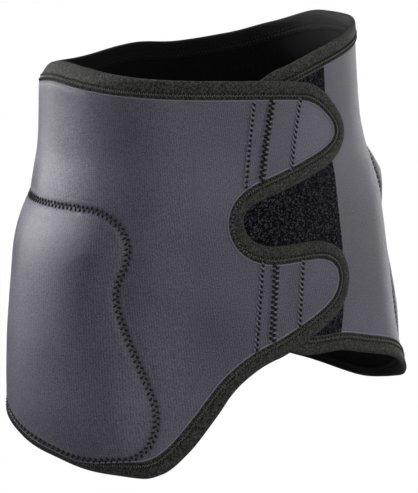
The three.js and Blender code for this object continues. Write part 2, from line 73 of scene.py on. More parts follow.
# share of the girth from the front centre, share of rimHeight
rim = [
    (-0.13, 0.89), (-0.062, 0.925), (-0.007, 0.967), (0.041, 1.02), (0.114, 1.073),
    (0.19, 1.113), (0.24, 1.113), (0.308, 1.027), (0.358, 0.967), (0.415, 0.947),
    (0.475, 0.972), (0.56, 0.947), (0.66, 0.985), (0.72, 1.03), (0.755, 1.015),
    (0.793, 0.995), (0.83, 0.98), (0.878, 0.96), (0.941, 0.927), (1.006, 0.88),
    (1.03, 0.845),
]

# share of the girth, share of hemDepth
hem = [
    (-0.13, 0.45), (-0.07, 0.455), (-0.038, 0.478), (-0.002, 0.537), (0.036, 0.556),
    (0.067, 0.605), (0.113, 0.691), (0.153, 0.81), (0.182, 0.907), (0.237, 0.975),
    (0.301, 0.914), (0.39, 0.772), (0.5, 0.704), (0.613, 0.765), (0.702, 0.885),
    (0.741, 0.95), (0.797, 1.01), (0.834, 1.015), (0.85, 0.99), (0.87, 0.895),
    (0.893, 0.741), (0.913, 0.611), (0.94, 0.525), (0.962, 0.494),
]

# share of the girth, rim lean, hem curl, hem flare, stand-off in front of the left hip
bends = [
    (-0.13, 0, 0, 0, 0), (0.055, 0, 0, 0, 0), (0.12, 0, 0, 0.3, 0.9), (0.16, 0, 0, 0.4, 1),
    (0.24, 0, 0.7, 0.6, 0.3), (0.32, 0, 0.8, 0.9, 0), (0.4, 0.2, 0.2, 0.4, 0),
    (0.5, 0.4, 0.1, 0, 0), (0.6, 0.5, 0.1, 0.4, 0), (0.66, 0.9, 0.3, 1, 0),
    (0.71, 1, 0.8, 1, 0), (0.76, 0.9, 1, 0.5, 0), (0.81, 0.3, 0.7, 0.1, 0),
    (0.845, 0.1, 0.1, 0, 0), (0.87, 0, 0, 0, 0), (1.1, 0, 0, 0, 0),
]


def readTable(table, x, column=1):
    # smooth value between the rows, without overshoot
    rows = np.array(table, float)
    xs, ys = rows[:, 0], rows[:, column]
    slope = np.diff(ys) / np.diff(xs)
    tangent = np.concatenate([slope[:1], np.zeros(len(xs) - 2), slope[-1:]])
    both = slope[:-1] * slope[1:]
    turning = both <= 0
    total = np.where(turning, 1, slope[:-1] + slope[1:])
    tangent[1:-1] = np.where(turning, 0, 2 * both / total)
    x = np.asarray(x, float)
    i = np.clip(np.searchsorted(xs, x, side="right") - 1, 0, len(xs) - 2)
    width = xs[i + 1] - xs[i]
    t = np.clip((x - xs[i]) / width, 0, 1)
    ease = t * t * (3 - 2 * t)
    pull = t * (1 - t) * ((1 - t) * tangent[i] - t * tangent[i + 1])
    return ys[i] + (ys[i + 1] - ys[i]) * ease + width * pull


def smoothStep(share):
    t = np.clip(share, 0, 1)
    return t * t * (3 - 2 * t)


def runAlong(line):
    # length walked along a line at each of its points
    return np.concatenate([[0], np.cumsum(np.linalg.norm(np.diff(line, axis=0), axis=1))])


def onLine(at, run, line):
    # a line's points, or values along it, at the given lengths
    return np.stack([np.interp(at, run, line[:, k]) for k in range(line.shape[1])], -1)


def bell(x, middle, width):
    return np.exp(-((x - middle) / width) ** 2)


def radiusAt(angle, height):
    share = np.where(height > 0, height / form["rimHeight"], height / form["hemDepth"])
    size = readTable(sections, share) / 2
    rounding = form["centreRounding"]
    turned = np.hypot(np.sin(angle), rounding) / math.hypot(1, rounding)
    across = turned / (form["hipBreadth"] * size)
    deep = np.abs(np.cos(angle)) / (form["hipDepth"] * size)
    return (across ** form["planPower"] + deep ** form["planPower"]) ** (-1 / form["planPower"])


def walkRound(steps):
    angle = np.linspace(0, 2 * math.pi, steps + 1)
    radius = radiusAt(angle, np.zeros(steps + 1))
    return angle, runAlong(np.stack([radius * np.sin(angle), radius * np.cos(angle)], 1))


walkAngle, walkAlong = walkRound(1440)
girth = walkAlong[-1]


def angleAt(along):
    turns = np.floor(along / girth)
    return turns * 2 * math.pi + np.interp(along - turns * girth, walkAlong, walkAngle)


def rimAt(along):
    return form["rimHeight"] * readTable(rim, along / girth)


def hemAt(along):
    return -form["hemDepth"] * readTable(hem, along / girth)


def climbAt(along):
    reach = form["climbStart"] - form["climbEnd"]
    return form["climb"] * smoothStep((along - girth + form["climbStart"]) / reach)


def bendAt(along, height):
    share = along / girth
    nearRim = np.clip(1 - (rimAt(along) - height) / form["edgeBend"], 0, None)
    nearHem = np.clip(1 - (height - hemAt(along)) / form["edgeBend"], 0, None)
    nearFlare = np.clip(1 - (height - hemAt(along)) / form["flareHeight"], 0, None)
    below = smoothStep((form["standOffTop"] - height) / form["standOffBlend"])
    lean = form["rimLean"] * readTable(bends, share, 1) * nearRim ** 2
    curl = form["hemCurl"] * readTable(bends, share, 2) * nearHem ** 2
    flare = form["hemFlare"] * readTable(bends, share, 3) * nearFlare ** 2
    off = form["standOff"] * readTable(bends, share, 4) * below
    return lean + curl - flare - off


def place(flat, offset):
    # flat pattern (along, height) to space; offset is counted outwards from the outer face
    along, height = flat[..., 0], flat[..., 1]
    angle = angleAt(along)
    radius = radiusAt(angle, height) + offset + climbAt(along) - bendAt(along, height)
    return np.stack([radius * np.sin(angle), -radius * np.cos(angle), height + 0 * radius], -1)


# Flat outlines

closure = {
    "underReach": 0.092,
    "underRimCorner": 0.080,
    "underHemCorner": 0.022,
    "notchInset": 0.067,
    "notchHeight": 0.031,
    "upperTabReach": 0.062,
    "lowerTabReach": 0.0425,
    "rootInset": 0.100,
    "loopEdge": 0.045,
    "loopLean": 0.012,
}

# share of the tab's length, share of its height from the notch
upperTab = [
    (0, 0), (0.022, 0.062), (0.12, 0.12), (0.34, 0.168), (0.62, 0.232), (0.79, 0.28),
    (0.9, 0.335), (0.975, 0.405), (1, 0.478), (0.975, 0.56), (0.907, 0.65), (0.8, 0.748),
    (0.667, 0.823), (0.55, 0.85),
]
lowerTab = [
    (0, 0), (0.026, 0.09), (0.1, 0.165), (0.25, 0.218), (0.48, 0.234), (0.7, 0.25),
    (0.85, 0.298), (0.95, 0.38), (1, 0.52), (0.965, 0.66), (0.88, 0.765), (0.74, 0.845),
    (0.54, 0.92), (0.303, 1),
]
tipFirst, tipLast = 6, 10


def smoothLine(points, steps):
    # a curve through the points, at even steps
    p = np.array(points, float)
    q = np.vstack([2 * p[0] - p[1], p, 2 * p[-1] - p[-2]])
    perSpan = 24
    t = np.linspace(0, 1, perSpan, endpoint=False)[:, None]
    spans = []
    for a, b, c, d in zip(q[:-3], q[1:-2], q[2:-1], q[3:]):
        square = 2 * a - 5 * b + 4 * c - d
        cubic = 3 * (b - c) + d - a
        spans.append(b + 0.5 * t * (c - a + t * (square + t * cubic)))
    return evenly(np.vstack([*spans, p[-1:]]), steps)


def evenly(line, steps):
    run = runAlong(line)
    return onLine(np.linspace(0, run[-1], steps + 1), run, line)


def straight(a, b, steps):
    return np.linspace(a, b, steps + 1)


def closeUp(ring):
    return np.vstack([ring, ring[:1]])


def cornerCut(along, corner):
    left = np.clip(corner - closure["underReach"] - along, 0, None)
    return corner - np.sqrt(np.clip(corner ** 2 - left ** 2, 0, None))


def hemPoint(along):
    return np.stack([along, hemAt(along) + cornerCut(along, closure["underHemCorner"])], -1)


def rimPoint(along):
    return np.stack([along, rimAt(along) - cornerCut(along, closure["underRimCorner"])], -1)


notchAlong = girth - closure["notchInset"]
upperLength = closure["notchInset"] + closure["upperTabReach"]
lowerLength = closure["notchInset"] + closure["lowerTabReach"]
overRoot = girth - closure["rootInset"]
upperTall = form["rimHeight"] - closure["notchHeight"]
lowerTall = closure["notchHeight"] - hemAt(notchAlong + lowerTab[-1][0] * lowerLength)
upperEdge = [
    (notchAlong + r * upperLength, closure["notchHeight"] + z * upperTall) for r, z in upperTab
]
lowerEdge = [
    (notchAlong + r * lowerLength, closure["notchHeight"] - z * lowerTall) for r, z in lowerTab
]

# column and joins are lengths of steps, the others are numbers of them
mesh = {
    "column": 0.003,
    "lowJoin": 0.008,
    "highJoin": 0.016,
    "lower": 44,
    "upper": 38,
    "tab": 60,
    "root": 12,
    "corner": 24,
}


def joinLine(edge, level, step):
    # the hem or the rim from the over layer's root to where a tab's curve takes over
    return [(s, level(s)) for s in np.arange(overRoot, edge[-1][0] - 0.5 * step, step)]


def wrapSides():
    corner, end = closure["underRimCorner"], -closure["underReach"]
    start = corner + end
    turn = np.linspace(0, math.pi / 2, mesh["corner"], endpoint=False)
    columns = np.concatenate([
        start - corner * np.cos(turn),
        np.linspace(start, overRoot, round((overRoot - start) / mesh["column"]) + 1),
    ])
    lowJoin = joinLine(lowerEdge, hemAt, mesh["lowJoin"])
    highJoin = joinLine(upperEdge, rimAt, mesh["highJoin"])
    fromRoot = mesh["tab"] + mesh["root"]
    top, foot = rimPoint(np.array(end)), hemPoint(np.array(end))
    return [
        hemPoint(columns),
        smoothLine(lowJoin + lowerEdge[tipLast:][::-1], fromRoot),
        smoothLine(lowerEdge[tipFirst:tipLast + 1][::-1], mesh["lower"]),
        smoothLine(lowerEdge[:tipFirst + 1][::-1], mesh["tab"]),
        smoothLine(upperEdge[:tipFirst + 1], mesh["tab"]),
        smoothLine(upperEdge[tipFirst:tipLast + 1], mesh["upper"]),
        smoothLine(highJoin + upperEdge[tipLast:][::-1], fromRoot)[::-1],
        rimPoint(columns)[::-1],
        straight(top, foot, mesh["lower"] + mesh["upper"]),
    ]


def headings(ring, spread):
    # unit directions along a closed outline, eased over its neighbours
    ahead = np.roll(ring, -1, 0) - np.roll(ring, 1, 0)
    ahead /= np.linalg.norm(ahead, axis=1)[:, None]
    runs = np.linalg.norm(np.roll(ring, -1, 0) - ring, axis=1)
    reach = max(1, round(spread / np.median(runs)))
    weights = np.hanning(2 * reach + 3)[1:-1]
    eased = sum(w * np.roll(ahead, k, 0) for k, w in zip(range(-reach, reach + 1), weights))
    return eased / np.linalg.norm(eased, axis=1)[:, None]


def leftOf(heading):
    return np.stack([-heading[..., 1], heading[..., 0]], -1)


def inset(line, heading, inwards):
    return line + leftOf(heading) * np.asarray(inwards)[..., None]


def blendPatch(low, high, start, end):
    # a patch from its four sides: low and high run along, start and end run up
    u = np.linspace(0, 1, len(low))[:, None, None]
    v = np.linspace(0, 1, len(start))[None, :, None]
    ruled = low[:, None] * (1 - v) + high[:, None] * v
    sides = start[None] * (1 - u) + end[None] * u
    corners = (low[0] * (1 - u) + low[-1] * u) * (1 - v) + (high[0] * (1 - u) + high[-1] * u) * v
    return ruled + sides - corners


# Mesh making

def gridQuads(grids):
    quads, first = [], 0
    for grid in grids:
        rows, columns = grid.shape[:2]
        at = first + np.arange(rows * columns).reshape(rows, columns)
        quads.append(np.stack([at[:-1, :-1], at[1:, :-1], at[1:, 1:], at[:-1, 1:]], -1).reshape(-1, 4))
        first += rows * columns
    return np.vstack(quads)


def weld(grids):
    # one list of points and quads from several grids, with shared corners merged
    flat = np.vstack([grid.reshape(-1, 2) for grid in grids])
    perMetre = 2e4
    keys, where = np.unique(np.round(flat * perMetre).astype(int), axis=0, return_inverse=True)
    points = np.zeros((len(keys), 2))
    points[where.ravel()] = flat
    quads = where.ravel()[gridQuads(grids)]
    same = sum((quads[:, k] == quads[:, (k + 1) % 4]).astype(int) for k in range(4))
    return points, quads[same == 0]


def openEdges(quads):
    edges = np.vstack([np.stack([quads[:, k], quads[:, (k + 1) % 4]], 1) for k in range(4)])
    known = {(a, b) for a, b in edges.tolist()}
    return np.array([e for e in edges.tolist() if (e[1], e[0]) not in known])


def addMesh(name, points, faces, flat=None):
    data = bpy.data.meshes.new(name)
    data.from_pydata(points.tolist(), [], faces)
    data.polygons.foreach_set("use_smooth", [True] * len(data.polygons))
    if flat is not None:
        channel = data.attributes.new("flat", "FLOAT_VECTOR", "POINT")
        channel.data.foreach_set("vector", np.asarray(flat, float).ravel())
    piece = bpy.data.objects.new(name, data)
    bpy.context.scene.collection.objects.link(piece)
    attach(piece, "root")
    return piece


def clothSolid(name, points, quads, outer, inner, third):
    # a sheet with thickness; the attribute holds along, height and a third channel
    count = len(points)
    space = np.vstack([place(points, outer), place(points, inner)])
    rims = [[b, a, count + a, count + b] for a, b in openEdges(quads).tolist()]
    faces = quads.tolist() + (quads[:, ::-1] + count).tolist() + rims
    channel = np.column_stack([points, third])
    return addMesh(name, space, faces, np.vstack([channel, channel]))


def unit(v):
    return v / np.linalg.norm(v, axis=-1, keepdims=True)


def threads(name, paths, radius, corners=4):
    # many short strokes of thread as one mesh, half as thick at their ends
    count, steps = paths.shape[:2]
    ahead = unit(np.gradient(paths, axis=1))
    side = unit(np.cross(ahead, unit(paths * [1, 1, 0])))
    up = np.cross(side, ahead)
    radii = np.full(steps, radius)
    radii[[0, -1]] *= 0.5
    turn = np.linspace(0, 2 * math.pi, corners, endpoint=False)[:, None]
    ring = side[:, :, None] * np.cos(turn) + up[:, :, None] * np.sin(turn)
    points = (paths[:, :, None] + radii[None, :, None, None] * ring).reshape(-1, 3)
    at = np.arange(count * steps * corners).reshape(count, steps, corners)
    a, b = at[:, :-1], at[:, 1:]
    walls = np.stack([a, b, np.roll(b, -1, 2), np.roll(a, -1, 2)], -1).reshape(-1, 4)
    return addMesh(name, points, walls.tolist() + at[:, 0].tolist() + at[:, -1, ::-1].tolist())


# Tracks: lines on the flat pattern that stitches follow

def makeTrack(line, heading):
    return {"line": line, "heading": heading, "run": runAlong(line)}


def onTrack(track, run, inwards):
    spot = onLine(run, track["run"], track["line"])
    return inset(spot, onLine(run, track["run"], track["heading"]), inwards)


strokeShares = np.linspace(0, 1, 4)
threadSunk, dashEarly = 0.3, 0.08


def stitchSpots(length, stitch, shares):
    # run and inset of strokes that go to and fro between two rows of needle holes, at shares
    # of each stroke
    half = length / round(length / stitch["pitch"]) / 2
    count = round(length / half)
    odd = (np.arange(count) % 2)[:, None]
    across = np.where(odd == 1, 1 - shares, shares)
    inwards = stitch["low"] + (stitch["high"] - stitch["low"]) * across
    run = np.clip(half * np.arange(count)[:, None] + half * shares, 0, length)
    return run, inwards


def strokeLift(stitch):
    # the thread arches over the cloth and its ends go into it
    return stitch["lift"] * (np.sin(math.pi * strokeShares) - threadSunk)


def threadAndHoleShadeSpots(length, stitch):
    # a short dark dash from just before each needle hole, painted shade of the hole; on seams sewn with
    # black thread it is partly the thread itself
    return stitchSpots(length, stitch, stitch["holeDashShare"] * strokeShares - dashEarly)


# Edge rings: the outline and its insets, rounded where the tape turns a tight corner

# each tuck: where the hem starts to turn under and how soon it is under, then where it starts to
# come out and how soon it is out, as shares of the girth
binding = {
    "step": 0.00122,
    "stepsPerStitch": 3,
    "pitch": 0.00366,
    "low": 0.0082,
    "high": 0.0124,
    "lift": 0.00045,
    "holeDashShare": 0.42,
    "sit": 0.00025,
    "thread": 0.00034,
    "dash": 0.00085,
    "headingSpread": 0.004,
    "spreadPerDepth": 0.3,
    "easePerDepth": 1.5,
    "rounding": 0.026,
    "tightAt": 0.0020,
    "tightReach": 0.030,
    "narrowing": 0.18,
    "tuck": 0.54,
    "tucks": [(0.17, 0.055, 0.31, 0.07), (0.62, 0.07, 0.772, 0.055)],
    "pucker": 0.00026,
    "puckerAt": 0.0105,
    "puckerWidth": 0.0026,
    "puff": 0.00010,
    "puffEnd": 0.008,
    "puffElsewhere": 0.3,
    "lipWave": 0.00012,
    "lipFrom": 0.012,
    "foldWave": 0.00015,
}

sides = wrapSides()
outline = np.vstack([line[:-1] for line in sides])
closedRun = runAlong(closeUp(outline))
outlineRun, edgeLength = closedRun[:-1], closedRun[-1]
edgeSteps = binding["stepsPerStitch"] * round(edgeLength / binding["step"] / binding["stepsPerStitch"])
edgeStep = edgeLength / edgeSteps
edgeRing = evenly(closeUp(outline), edgeSteps)[:-1]
ringInsets = [-0.002, 0, 0.0035, 0.0070, 0.0105, 0.0145]


def smoothRing(ring, reach):
    count = round(reach / edgeStep)
    weights = np.hanning(2 * count + 3)[1:-1]
    weights /= weights.sum()
    return sum(w * np.roll(ring, k, 0) for k, w in zip(range(-count, count + 1), weights))


def smoothByLength(ring, reach):
    # smooths a ring over even steps of its own length, and keeps its points in their order
    closed = closeUp(ring)
    run = runAlong(closed)
    smooth = smoothRing(evenly(closed, edgeSteps)[:-1], reach)
    return onLine(run[:-1] / run[-1] * edgeSteps, np.arange(edgeSteps + 1), closeUp(smooth))


def tuckAt(along):
    # 1 where the hem turns under the hips, so that little of the tape shows
    share = along / girth
    return sum(
        smoothStep((share - start) / rise) * (1 - smoothStep((share - end) / fall))
        for start, rise, end, fall in binding["tucks"]
    )


def roundedInset(depth):
    # the tape narrows where the outline turns tightly outwards and under the hips
    spread = binding["headingSpread"]
    pull = smoothRing(edgeRing, binding["rounding"]) - edgeRing
    inwards = (pull * leftOf(headings(edgeRing, spread))).sum(1)
    tight = smoothRing(smoothStep(inwards / binding["tightAt"])[:, None], binding["tightReach"])[:, 0]
    tuck = binding["tuck"] * tuckAt(edgeRing[:, 0]) * (edgeRing[:, 1] < 0)
    heading = headings(edgeRing, spread + max(0, binding["spreadPerDepth"] * depth))
    ring = inset(edgeRing, heading, depth * (1 - binding["narrowing"] * tight) * (1 - tuck))
    return smoothByLength(ring, max(0, binding["easePerDepth"] * depth))


edgeRings = np.stack([roundedInset(d) for d in ringInsets])


def edgePoint(run, depth):
    at = np.asarray(run, float) / edgeStep
    low = np.floor(at).astype(int)
    share = (at - low)[..., None]
    depth = np.broadcast_to(depth, low.shape)
    band = np.clip(np.searchsorted(ringInsets, depth) - 1, 0, len(ringInsets) - 2)
    reach = ((depth - np.array(ringInsets)[band]) / np.diff(ringInsets)[band])[..., None]
    first, second = low % edgeSteps, (low + 1) % edgeSteps
    inner = edgeRings[band, first] * (1 - share) + edgeRings[band, second] * share
    outer = edgeRings[band + 1, first] * (1 - share) + edgeRings[band + 1, second] * share
    return inner * (1 - reach) + outer * reach


# Hip panels: outline and rise of the pad under them

panels = {
    "halfWidth": 0.114,
    "hemInset": 0.0145,
    "tuck": 0.30,
    "padRise": 0.011,
    "padShoulder": 0.062,
    "across": 140,
    "up": 150,
    "topRow": 4,
    "footRow": 15,
}
panelSides = {
    "right": {"centre": girth - 0.252, "lean": 0.0, "top": 0.045},
    "left": {"centre": 0.226, "lean": 0.040, "top": 0.060},
}

# front and back shares of the half width, share of the height, from the top to the foot
panelEdge = [
    (0, 0, 1), (0.42, 0.42, 1), (0.56, 0.56, 0.992), (0.67, 0.67, 0.965), (0.755, 0.75, 0.925),
    (0.797, 0.8, 0.86), (0.785, 0.815, 0.79), (0.735, 0.815, 0.72), (0.715, 0.815, 0.66),
    (0.735, 0.82, 0.6), (0.79, 0.845, 0.51), (0.87, 0.885, 0.4), (0.945, 0.935, 0.29),
    (0.99, 0.975, 0.2), (0.995, 0.985, 0.12), (0.95, 0.95, 0.05), (0.86, 0.86, 0.01),
    (0.74, 0.74, 0), (0.4, 0.4, 0),
]


def panelCorners(side):
    back = np.sign(girth / 2 - side["centre"])
    rows = np.array(panelEdge)

    def spots(across, rise):
        along = side["centre"] + back * (side["lean"] * (1 - rise) + across * panels["halfWidth"])
        low = hemAt(along) + panels["hemInset"] * (1 - panels["tuck"] * tuckAt(along))
        return np.stack([along, low + rise * (side["top"] - low)], -1)

    front, rear = spots(-rows[:, 0], rows[:, 2]), spots(rows[:, 1], rows[:, 2])
    return (front, rear) if back > 0 else (rear, front)


def panelOutline(side, across, up):
    first, second = panelCorners(side)
    top, foot = panels["topRow"], panels["footRow"]
    return [
        smoothLine(np.vstack([first[foot:], second[foot:][::-1]]), across),
        smoothLine(second[top:foot + 1][::-1], up),
        smoothLine(np.vstack([second[:top + 1][::-1], first[1:top + 1]]), across),
        smoothLine(first[top:foot + 1], up),
    ]


def insideDistance(points, ring):
    # distance to a closed outline, positive inside it
    a, b = ring, np.roll(ring, -1, 0)
    best = np.full(len(points), np.inf)
    inside = np.zeros(len(points), bool)
    for p, q in zip(a, b):
        run = q - p
        share = np.clip(((points - p) @ run) / (run @ run), 0, 1)
        best = np.minimum(best, np.linalg.norm(points - p - share[:, None] * run, axis=1))
        crosses = (p[1] > points[:, 1]) != (q[1] > points[:, 1])
        if p[1] != q[1]:
            at = p[0] + (points[:, 1] - p[1]) / (q[1] - p[1]) * (q[0] - p[0])
            inside ^= crosses & (points[:, 0] < at)
    return np.where(inside, best, -best)


panelRings = {}
for sideName, side in panelSides.items():
    panelRings[sideName] = np.vstack([line[:-1] for line in panelOutline(side, 60, 60)])


def panelReach(points):
    # distance inside the nearer panel; farOut is far from both
    farOut, margin = -9.0, 0.03
    reach = np.full(len(points), farOut)
    for ring in panelRings.values():
        low, high = ring[:, 0].min() - margin, ring[:, 0].max() + margin
        near = (points[:, 0] > low) & (points[:, 0] < high)
        reach[near] = np.maximum(reach[near], insideDistance(points[near], ring))
    return reach


seam = {
    "depth": 0.0005,
    "width": 0.0030,
    "innerShare": 0.5,
    "sink": 0.0018,
    "ridge": 0.00008,
    "ridgeAt": -0.0045,
    "ridgeWidth": 0.0016,
    "puff": 0.00045,
    "puffAt": 0.0052,
    "puffWidth": 0.0030,
    "overWrap": 0.00005,
    "skirt": 0.0062,
    "skirtEnd": 0.0095,
    "dive": 0.0009,
    "back": -0.0015,
    "headingSpread": 0.003,
    "pitch": 0.0046,
    "pucker": 0.00060,
    "puckerReach": 0.0034,
    "puckerTurn": 0.0012,
    "low": -0.0020,
    "high": 0.0020,
    "holeDashShare": 0.55,
    "sit": 0.00032,
    "dash": 0.00086,
}


def padRise(reach):
    t = np.clip(reach / panels["padShoulder"], 0, 1)
    return panels["padRise"] * (1 - (1 - t) ** 3)


def groove(distance):
    return seam["depth"] * bell(distance, 0, seam["width"])


# Body wrap: outer face sinks under the panels so that they show alone

bandInsets = [0, 0.0034, 0.0068, 0.0102, 0.0135]


def edgeBands(lines, rings):
    # a strip of grid along each side of an outline, across the outline's insets
    start, bands = 0, []
    for line in lines:
        at = np.arange(start, start + len(line)) % len(rings[0])
        bands.append(np.stack([ring[at] for ring in rings], 1))
        start += len(line) - 1
    return bands


def wrapGrids():
    bands = edgeBands(sides, [edgePoint(outlineRun, d) for d in bandInsets])
    hemLine, lowerLow, lowerEnd, lowerHigh, upperLow, upperEnd, upperHigh, rimLine, underEnd = [
        band[:, -1] for band in bands
    ]
    rimForward = rimLine[::-1]
    middle = np.array([overRoot, upperLow[0][1]])
    below = straight(hemLine[-1], middle, mesh["lower"])
    above = straight(middle, rimForward[-1], mesh["upper"])
    toNotch = straight(middle, upperLow[0], mesh["root"])
    return bands + [
        blendPatch(hemLine, rimForward, underEnd[::-1], np.vstack([below, above[1:]])),
        blendPatch(np.vstack([toNotch, upperLow[1:]]), upperHigh[::-1], above, upperEnd),
        blendPatch(lowerLow, np.vstack([toNotch, lowerHigh[::-1][1:]]), below, lowerEnd),
    ]


def makeWrap():
    points, quads = weld(wrapGrids())
    reach = panelReach(points)
    outer = -seam["sink"] * smoothStep((reach + seam["skirt"]) / seam["skirt"])
    inner = seam["innerShare"] * groove(reach) - form["wall"]
    piece = clothSolid("bodyWrap", points, quads, outer, inner, reach)
    first, second, third, fourth = (points[quads[:, k]] for k in range(4))
    area = 0.5 * np.abs(np.cross(third - first, fourth - second)).sum()
    inside = np.zeros(len(piece.data.polygons), int)
    inside[len(quads):2 * len(quads)] = 1
    return piece, inside, area


bodyWrap, innerFaces, flatArea = makeWrap()
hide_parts("body_wrap")
print("body wrap", len(bodyWrap.data.polygons), "faces, flat area", round(float(flatArea), 3))


# Hip panels over the pads, with the sewn groove round them

def panelFace(distance):
    # offset of the panel's outer face at a distance inside its seam
    ridge = seam["ridge"] * bell(distance, seam["ridgeAt"], seam["ridgeWidth"])
    puff = seam["puff"] * bell(distance, seam["puffAt"], seam["puffWidth"])
    past = (-distance - seam["skirt"]) / (seam["skirtEnd"] - seam["skirt"])
    face = padRise(distance) - groove(distance) + ridge + puff + seam["overWrap"]
    return face - seam["dive"] * smoothStep(past)


def panelPucker(distance, run):
    # the stitches draw the cloth in on one side of the seam and then on the other
    window = seam["pucker"] * np.exp(-(distance / seam["puckerReach"]) ** 4)
    return window * np.tanh(distance / seam["puckerTurn"]) * np.cos(2 * math.pi * run / seam["pitch"])


panelInsets = [
    -0.0095, -0.0078, -0.0064, -0.0054, -0.0046, -0.0038, -0.0031, -0.0024, -0.0017, -0.0010,
    -0.0003, 0.0004, 0.0011, 0.0018, 0.0025, 0.0032, 0.0040, 0.0050, 0.0062, 0.0076,
]


def makePanel(sideName, nodes):
    lines = panelOutline(panelSides[sideName], panels["across"], panels["up"])
    ring = np.vstack([line[:-1] for line in lines])
    heading = headings(ring, seam["headingSpread"])
    bands = edgeBands(lines, [inset(ring, heading, d) for d in panelInsets])
    low, right, high, left = [band[:, -1] for band in bands]
    points, quads = weld(bands + [blendPatch(low, high[::-1], left[::-1], right)])
    reach = insideDistance(points, ring)
    track = makeTrack(closeUp(ring), closeUp(heading))
    length = track["run"][-1]
    nearest = np.array([np.argmin(((ring - p) ** 2).sum(1)) for p in points])
    wholeStitches = seam["pitch"] * round(length / seam["pitch"]) / length
    outer = panelFace(reach) + panelPucker(reach, track["run"][nearest] * wholeStitches)
    piece = clothSolid(f"hipPanel{sideName.capitalize()}", points, quads, outer, seam["back"], reach)
    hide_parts(*nodes)
    # dashes at the needle holes: partly the black thread, partly painted shade of the holes
    run, inwards = threadAndHoleShadeSpots(length, seam)
    return piece, place(onTrack(track, run, inwards), panelFace(inwards) + seam["sit"])


hipPanels, panelDashes = [], []
for sideName in panelSides:
    made = makePanel(sideName, [f"hip_panel_{sideName}", f"hip_pad_{sideName}"])
    hipPanels.append(made[0])
    panelDashes.append(made[1])
panelThreadAndHoleShade = threads("hipPanelThreadAndHoleShade", np.vstack(panelDashes), seam["dash"], corners=6)
print("hip panels", [len(p.data.polygons) for p in hipPanels], "faces")


# Edge binding: folded tape swept round the outline

# inset from the edge and rise over the cloth's face, from the sewn edge to the fold
tapeProfile = [
    (0.0141, -0.00030), (0.0150, 0.00004), (0.0144, 0.00050), (0.0137, 0.00044),
    (0.0132, 0.00055), (0.0123, 0.00052), (0.0110, 0.00036), (0.0098, 0.00036),
    (0.0086, 0.00050), (0.0072, 0.00074), (0.0052, 0.00084), (0.0032, 0.00084),
    (0.0014, 0.00076), (0.0002, 0.00048), (-0.0007, -0.00020), (-0.00105, -0.00150),
]
tapeHidden = [(0.0100, -0.0029), (0.0005, -0.0028), (0.0005, -0.0002), (0.0100, -0.0001)]

# share of each slow wave along the tape, its length for each radian and where it starts
tapeWaves = [(0.5, 0.031, 0), (0.3, 0.013, 1), (0.2, 0.0071, 2)]


def tapeRise(inwards):
    # rise of the tape's face between its lip and its fold
    table = np.array(tapeProfile[1:14][::-1])
    return np.interp(inwards, table[:, 0], table[:, 1])


def makeBinding():
    mirrored = [(d, -form["wall"] - o) for d, o in tapeProfile[:-1]][::-1]
    profile = np.array(tapeProfile + mirrored + tapeHidden)
    run = np.arange(edgeSteps) * edgeStep
    slow = sum(share * np.sin(run / length + start) for share, length, start in tapeWaves)
    stitchWave = np.cos(2 * math.pi * np.arange(edgeSteps) / binding["stepsPerStitch"])
    rows = []
    for d, o in profile:
        out = 1 if o > -form["wall"] / 2 else -1
        pucker = binding["pucker"] * bell(d, binding["puckerAt"], binding["puckerWidth"]) * stitchWave
        puff = binding["puff"] * slow * (1 if 0 < d < binding["puffEnd"] else binding["puffElsewhere"])
        lip = binding["lipWave"] * stitchWave * (d > binding["lipFrom"])
        fold = binding["foldWave"] * slow * (d < 0)
        rows.append(place(edgePoint(run, d + lip + fold), o + out * (pucker + puff)))
    space = np.stack(rows, 1)
    at = np.arange(space.shape[0] * space.shape[1]).reshape(space.shape[:2])
    ahead = np.roll(at, -1, 0)
    quads = np.stack([at, np.roll(at, -1, 1), np.roll(ahead, -1, 1), ahead], -1).reshape(-1, 4)
    channel = np.zeros(space.shape)
    channel[..., 0] = run[:, None]
    channel[..., 1:] = profile
    return addMesh("edgeBinding", space.reshape(-1, 3), quads.tolist(), channel.reshape(-1, 3))


edgeBinding = makeBinding()
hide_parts("edge_binding")
run, inwards = stitchSpots(edgeLength, binding, strokeShares)
strokes = place(edgePoint(run, inwards), tapeRise(inwards) + strokeLift(binding))
bindingStitches = threads("bindingStitches", strokes, binding["thread"])
# painted shade: black dashes at the tape's needle holes on both faces, though its thread is light
run, inwards = threadAndHoleShadeSpots(edgeLength, binding)
bothFaces = [tapeRise(inwards), -form["wall"] - tapeRise(inwards)]
dashes = [place(edgePoint(run, inwards), face + binding["sit"]) for face in bothFaces]
bindingHoleShade = threads("bindingHoleShade", np.vstack(dashes), binding["dash"], corners=6)
print("edge binding", len(edgeBinding.data.polygons), "faces")


# Stitch lines that hold the hook tape under the tabs

tabStitch = {
    "pitch": 0.0041,
    "lift": 0.0002,
    "holeDashShare": 0.60,
    "sit": 0.00085,
    "thread": 0.00030,
    "dash": 0.00123,
    "bed": 0.0003,
    "bedShare": 0.3,
    "ridge": 0.0014,
    "ridgeMargin": 0.0008,
    "ridgeReach": 1.5,
    "valley": 0.15,
    "margin": 0.0014,
    "foot": -0.0011,
    "step": 0.0005,
    "singleWidth": 0.004,
    "singleColumns": 13,
    "doubleColumns": 19,
    "rows": 60,
}

# top and bottom of each line from the front centre: along, height, along, height, width
tabLines = [
    (-0.050, 0.1235, -0.063, 0.057, 0.0030), (-0.030, 0.1225, -0.047, 0.060, 0.0056),
    (0.002, 0.1205, -0.015, 0.065, 0.0032), (-0.051, -0.003, -0.061, -0.073, 0.0030),
    (-0.038, -0.007, -0.046, -0.068, 0.0052), (-0.011, -0.008, -0.020, -0.061, 0.0032),
]


